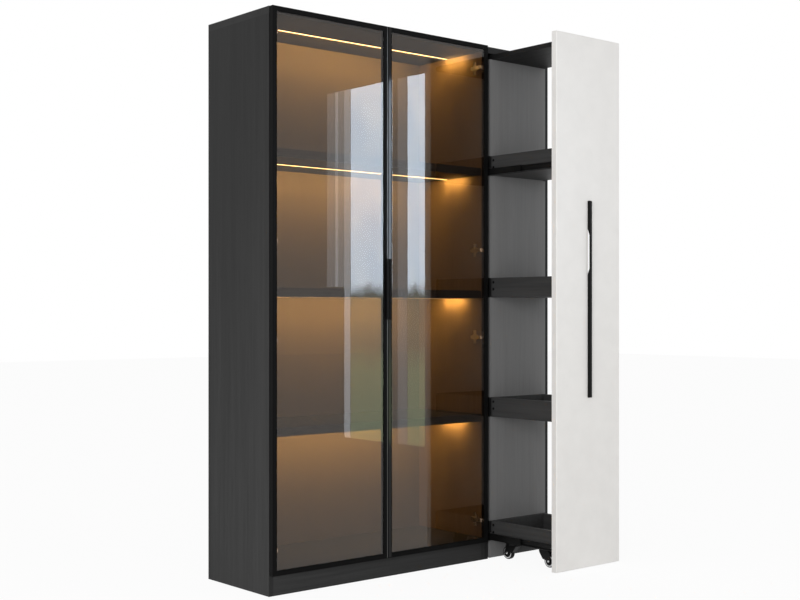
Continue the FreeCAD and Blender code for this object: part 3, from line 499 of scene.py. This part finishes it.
def tray_screws():
    """Black pan heads, two at each end of every tray's side boards."""
    mesh = bmesh.new()
    for tray in TRAYS:
        low, high = corners(tray)
        for face, outward in ((low.x, -1), (high.x, 1)):
            for deep in (low.y + TRAY_SCREW_INSET, high.y - TRAY_SCREW_INSET):
                for lift in TRAY_SCREW_LIFTS:
                    screw_head(mesh, place(face, deep, low.z + lift), (outward, 0, 0),
                               *TRAY_SCREW)
    finish_piece("tray_screws", mesh, screw_black, "pullout")


HINGE_END_OFFSET = 85
HINGE_INNER_SPREAD = 169
HINGE_PLATE_THICKNESS = 3
PLATE_SCREW = (3.9, 1.7)
PLATE_SCREW_DEEP = 35
PLATE_SCREW_LIFTS = (-19, 19)
CUP_SCREW = (2.4, 1.0)
CUP_SCREW_INSET = 16.2
CUP_SCREW_DEEP = -10.1
CUP_SCREW_LIFTS = (-15, 15)


def hinge_levels():
    """The heights of a door's hinges: one near each end, and two about its middle."""
    low, high = corners("door_left_frame")
    middle = (low.z + high.z) / 2
    return (low.z + HINGE_END_OFFSET, middle - HINGE_INNER_SPREAD,
            middle + HINGE_INNER_SPREAD, high.z - HINGE_END_OFFSET)


def hinge_screws():
    """The screws of the hinge plates, and of the cups in the doors."""
    left_panel = corners("side_panel_left")
    middle_panel = corners("side_panel_middle")
    plates = bmesh.new()
    for side, outer_face, inner_face, inward in (
            ("left", left_panel[0].x, left_panel[1].x, 1),
            ("right", middle_panel[1].x, middle_panel[0].x, -1)):
        cups = bmesh.new()
        plate_face = inner_face + inward * HINGE_PLATE_THICKNESS
        cup_screw_line = outer_face + inward * CUP_SCREW_INSET
        for level in hinge_levels():
            for lift in PLATE_SCREW_LIFTS:
                screw_head(plates, place(plate_face, PLATE_SCREW_DEEP, level + lift),
                           (inward, 0, 0), *PLATE_SCREW)
            for lift in CUP_SCREW_LIFTS:
                screw_head(cups, place(cup_screw_line, CUP_SCREW_DEEP, level + lift),
                           (0, 1, 0), *CUP_SCREW)
        finish_piece(f"door_{side}_cup_screws", cups, nickel, f"door_{side}")
    finish_piece("hinge_plate_screws", plates, nickel, "cabinet")


# ---------------------------------------------------------------- casters
# Profiles are pairs of a radius from the axle and a distance along it.

TYRE_PROFILE = (
    (3.2, -7.6), (8, -7.6), (9, -6.6), (14.6, -6.6), (15.8, -8.5), (22.4, -8.8), (24.2, -7.8),
    (25, -5.8), (25, 5.8), (24.2, 7.8), (22.4, 8.8), (15.8, 8.5), (14.6, 6.6), (9, 6.6),
    (8, 7.6), (3.2, 7.6),
)
RIM_PROFILE = ((16.2, 8.3), (16.2, 8.9), (17.2, 9.1), (20.0, 9.1), (21, 8.9), (21, 8.3))
AXLE_CAP_PROFILE = ((0, 0), (4.8, 0), (4.8, 1.3), (4.0, 2.2), (2.4, 2.6), (0, 2.7))
FORK_HALF_WIDTH = 11.8


def casters():
    """Moulded tyres with a bright ring on each side, and the caps on the axle's ends."""
    joint_places = {joint["name"]: joint.get("pos_m") for joint in behaviour["joints"]}
    for spot in CASTER_SPOTS:
        centre = Vector(joint_places[f"roll_{spot}"])
        tyre = bmesh.new()
        spin(tyre, TYRE_PROFILE, centre, (1, 0, 0), steps=48, closed=True)
        tread = finish_piece(f"tyre_{spot}", tyre, tyre_black, f"wheel_{spot}")
        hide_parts(f"caster_wheel_{spot}")
        rims = bmesh.new()
        caps = bmesh.new()
        for outward in (-1, 1):
            axle_end = centre + Vector((outward * FORK_HALF_WIDTH * MILLIMETRE, 0, 0))
            spin(rims, RIM_PROFILE, centre, (outward, 0, 0), steps=48, closed=True)
            spin(caps, AXLE_CAP_PROFILE, axle_end, (outward, 0, 0), steps=24)
        finish_piece(f"wheel_rings_{spot}", rims, zinc, f"wheel_{spot}")
        finish_piece(f"axle_caps_{spot}", caps, zinc, f"fork_{spot}")


# ---------------------------------------------------------------- thin bright faces
# The doors' strips each lie between two distances from the free edge, stand a little proud
# of the frame and are let into it. POLISHED_SHARP is the angle over which an edge is crisp.

POLISHED_SHARP = 15
STRIP_PROUD = 0.15
STRIP_SUNK = 0.1
STRIP_BEVEL = 0.1
STRIP_END_GAP = 2
LEFT_STRIP = (0.1, 1.9)
RIGHT_STRIP = (2, 15)


def door_edge(name, side, strip, material):
    """A thin upright strip on a door's front, between two distances from its free edge."""
    low, high = corners(f"door_{side}_frame")
    free_edge, inward = (high.x, -1) if side == "left" else (low.x, 1)
    left, right = sorted(free_edge + inward * distance for distance in strip)
    mesh = bmesh.new()
    bar(mesh, place(left, low.y - STRIP_PROUD, low.z + STRIP_END_GAP),
        place(right, low.y + STRIP_SUNK, high.z - STRIP_END_GAP), STRIP_BEVEL)
    finish_piece(name, mesh, material, f"door_{side}", sharp=POLISHED_SHARP)


# The scoop is cut into the handle's rear: its start above the handle's lower end, its
# length and depth, and the run in which each of its ends reaches that depth.
SCOOP_START = 463
SCOOP_LENGTH = 171
SCOOP_DEPTH = 9
SCOOP_RUN = 22

# The face lies between two shares of that depth, and its ends curve in like the scoop's.
FACE_SHARES = (0.04, 0.94)
FACE_STEPS = 6
FACE_SLANT = 8
FACE_THICKNESS = 0.3
FACE_SIDE_INSET = 0.3
FACE_END_CLEARANCE = 0.8
FACE_END_CURVE = 0.8


def handle_scoop_face():
    """A thin polished face that slants across the handle's finger scoop."""
    handle_low, handle_high = corners("pull_handle")
    scoop_low = handle_low.z + SCOOP_START
    scoop_high = scoop_low + SCOOP_LENGTH
    first, last = FACE_SHARES
    mesh = bmesh.new()
    rings = []
    for step in range(FACE_STEPS + 1):
        share = first + (last - first) * step / FACE_STEPS
        inset = FACE_END_CLEARANCE + SCOOP_RUN * share ** FACE_END_CURVE
        left = handle_low.x + FACE_SIDE_INSET + FACE_SLANT * share
        right = left + FACE_THICKNESS
        deep = handle_high.y - SCOOP_DEPTH * share
        low = scoop_low + inset
        high = scoop_high - inset
        outline = ((left, low), (left, high), (right, high), (right, low))
        rings.append([mesh.verts.new(place(across, deep, up)) for across, up in outline])
    for near, far in zip(rings, rings[1:]):
        for side in range(4):
            after = (side + 1) % 4
            mesh.faces.new((near[side], near[after], far[after], far[side]))
    mesh.faces.new(rings[0])
    mesh.faces.new(rings[-1])
    finish_piece("handle_scoop_face", mesh, polished_aluminium, "pullout",
                 sharp=POLISHED_SHARP)


tray_screws()
hinge_screws()
casters()
door_edge("door_left_edge_line", "left", LEFT_STRIP, edge_aluminium)
door_edge("door_right_edge_face", "right", RIGHT_STRIP, polished_black)
handle_scoop_face()


# ---------------------------------------------------------------- floor and world

FLOOR_WIDTH = 40
FLOOR_DROP = 0.0005
FLOOR_GLOW = 0.94
AMBIENT = 0.5


def floor():
    """A white floor that glows to the eye, except where something shades it."""
    bpy.ops.mesh.primitive_plane_add(size=FLOOR_WIDTH, location=(0, 0, -FLOOR_DROP))
    plane = bpy.context.object
    plane.name = "floor"
    material, tree, shader = new_material("floor_white")
    shader.inputs["Base Color"].default_value = grey(248)
    shader.inputs["Roughness"].default_value = 0.9
    glow = tree.nodes.new("ShaderNodeEmission")
    blend_surfaces(tree, maths(tree, "MULTIPLY", seen_rays(tree), FLOOR_GLOW), shader, glow)
    plane.data.materials.append(material)


def world():
    """White to the eye and in reflections; a softer level as the light on the object."""
    sky = bpy.data.worlds.new("studio")
    bpy.context.scene.world = sky
    sky.use_nodes = True
    tree = sky.node_tree
    background = tree.nodes["Background"]
    background.inputs["Color"].default_value = (1, 1, 1, 1)
    strength = spread(tree, seen_rays(tree), 0, 1, AMBIENT, 1.0)
    tree.links.new(strength, background.inputs["Strength"])


# ---------------------------------------------------------------- lamps
# Lamps' places and sizes are in metres, except where place() turns millimetres into them.

def area_light(name, centre, towards, width, height, power, colour=(1, 1, 1), seen=False):
    """A soft rectangular lamp that the eye doesn't see, in reflections only if asked."""
    data = bpy.data.lights.new(name, "AREA")
    data.shape = "RECTANGLE"
    data.size = width
    data.size_y = height
    data.energy = power
    data.color = colour
    lamp = bpy.data.objects.new(name, data)
    bpy.context.scene.collection.objects.link(lamp)
    lamp.location = centre
    lamp.rotation_euler = (Vector(towards) - Vector(centre)).to_track_quat("-Z", "Y").to_euler()
    lamp.visible_camera = False
    lamp.visible_transmission = False
    lamp.visible_glossy = seen
    return lamp


def lit_only(lamp, members):
    """Let a lamp light some nodes, and nothing else."""
    group = bpy.data.collections.new(f"lit_by_{lamp.name}")
    for member in members:
        group.objects.link(nodes[member])
    lamp.light_linking.receiver_collection = group


def nodes_of(*bodies):
    """The names of the nodes on some bodies."""
    return [name for body in bodies for name in behaviour["bodies"][body]]


KEY_PLACE = (-4.6, -3.0, 1.7)
KEY_AIM = (0, 0, 0.9)


def studio_lights():
    """The key and fill, the floor's light on the left side, and a glint on the hinges."""
    area_light("key", KEY_PLACE, KEY_AIM, width=2.4, height=2.4, power=145)
    area_light("fill", (0.6, -5.5, 2.2), (0.3, 0, 1.0), width=2.4, height=2.4, power=30)
    bounce = area_light("bounce", (-2.0, -0.5, 0.03), (-0.7, 0, 0.3),
                        width=1.0, height=1.0, power=55)
    lit_only(bounce, ["side_panel_left", "plinth_board"])
    glint = area_light("glint", KEY_PLACE, KEY_AIM, width=1.6, height=1.6, power=220,
                       seen=True)
    lit_only(glint, [name for name in nodes_of(*behaviour["bodies"]) if "hinge" in name])


# Each light line shines downwards, washes the back panel and glows against the side panel.
# A part's numbers are its middle across and deep, its length in metres and its power.
WARM = (1.0, 0.60, 0.15)
LIT_BOARDS = ("shelf_lower", "shelf_middle", "shelf_upper", "top_board")
LIGHT_LINE_PARTS = {
    "down": (507, 199, 0.97, 1.8, (0, 0, -1)),
    "back": (484, 199, 0.88, 5.4, (0, 1, -0.3)),
    "end": (962, 152, 0.11, 0.7, (1, 0, -0.7)),
}
LIGHT_LINE_DROP = 4
LIGHT_LINE_WIDTH = 0.008


def light_lines():
    """The light from under the shelves and the top, on the cabinet and its doors."""
    inside = [name for name in nodes_of("cabinet", "door_left", "door_right")
              if "hinge" not in name]
    for board in LIT_BOARDS:
        underside = corners(board)[0].z
        for part, (across, deep, length, power, aim) in LIGHT_LINE_PARTS.items():
            centre = place(across, deep, underside - LIGHT_LINE_DROP)
            line = area_light(f"light_line_{board}_{part}", centre, centre + Vector(aim),
                              length, LIGHT_LINE_WIDTH, power, WARM)
            lit_only(line, inside)


# The window stands in a wall on the right. Each of its lights has a nearest and a furthest
# place in depth. A curtain's fold also has its lower end and its brightness.
SKY = (0.78, 0.89, 1.0, 1.0)
DEEP_SKY = (0.62, 0.76, 0.93, 1.0)
TREES = (0.055, 0.06, 0.04, 1.0)
GRASS = (0.11, 0.14, 0.07, 1.0)
CURTAIN = (0.86, 0.93, 1.0)
WINDOW_WALL = 3329
WINDOW_TOP = 2600
PANE_LOW = 40
PANE_BRIGHT = 14.2
GARDEN_PANES = ((-3348, -3824), (-3002, -3184))
CURTAIN_FOLDS = (
    (-3188, -3290, 40, 1.3), (-3828, -3900, 40, 4.2), (-3900, -3974, 1150, 2.0),
    (-3974, -4008, 1150, 4.0), (-4008, -4110, 1150, 1.6),
)


def garden_view(data):
    """Sky over trees and grass, softly joined, as the colour of a window's light."""
    data.use_nodes = True
    tree = data.node_tree
    across = tree.nodes.new("ShaderNodeNewGeometry").outputs["Parametric"]
    parts = tree.nodes.new("ShaderNodeSeparateXYZ")
    tree.links.new(across, parts.inputs[0])
    even = times(tree, across, (0.5, 2.5, 1.0))
    clumps = noise(tree, even, scale=6, detail=3)
    drift = maths(tree, "MULTIPLY", maths(tree, "SUBTRACT", clumps, 0.5), 0.06)
    height = maths(tree, "ADD", parts.outputs["Y"], drift)
    ground = blend_colour(tree, spread(tree, height, 0.20, 0.27), GRASS, TREES)
    clouds = spread(tree, noise(tree, even, scale=2.5, detail=4), 0.35, 0.65)
    view = blend_colour(tree, spread(tree, height, 0.405, 0.445), ground,
                        blend_colour(tree, clouds, DEEP_SKY, SKY))
    tree.links.new(view, tree.nodes["Emission"].inputs["Color"])


def window_light(name, nearest, furthest, low, bright, colour=(1, 1, 1)):
    """An upright light in the wall on the right, that the doors mirror."""
    centre = place(WINDOW_WALL, (nearest + furthest) / 2, (low + WINDOW_TOP) / 2)
    wide = (nearest - furthest) * MILLIMETRE
    tall = (WINDOW_TOP - low) * MILLIMETRE
    lamp = area_light(name, centre, centre - Vector((1, 0, 0)), wide, tall,
                      bright * math.pi * wide * tall, colour, seen=True)
    lamp.visible_diffuse = False
    return lamp


def window():
    """Two panes with the garden behind them, and the folds of the curtains beside them."""
    for index, (nearest, furthest) in enumerate(GARDEN_PANES):
        pane = window_light(f"garden_pane_{index}", nearest, furthest, PANE_LOW, PANE_BRIGHT)
        garden_view(pane.data)
    for index, (nearest, furthest, low, bright) in enumerate(CURTAIN_FOLDS):
        window_light(f"curtain_{index}", nearest, furthest, low, bright, CURTAIN)


# ---------------------------------------------------------------- camera

CAMERA_PLACE = (-2453.7, -3567.5, 963.5)
CAMERA_TURN = -40.39
SENSOR_WIDTH = 36
FOCAL_LENGTH = 57.33
LENS_RISE = 0.0151


def camera():
    """A level camera to the left of the doors, with its lens raised a little."""
    data = bpy.data.cameras.new("camera")
    data.sensor_width = SENSOR_WIDTH
    data.lens = FOCAL_LENGTH
    data.shift_y = LENS_RISE
    eye = bpy.data.objects.new("camera", data)
    bpy.context.scene.collection.objects.link(eye)
    eye.location = place(*CAMERA_PLACE)
    eye.rotation_euler = (math.radians(90), 0, math.radians(CAMERA_TURN))
    bpy.context.scene.camera = eye


floor()
world()
studio_lights()
light_lines()
window()
camera()
bpy.context.scene.view_settings.view_transform = "Standard"
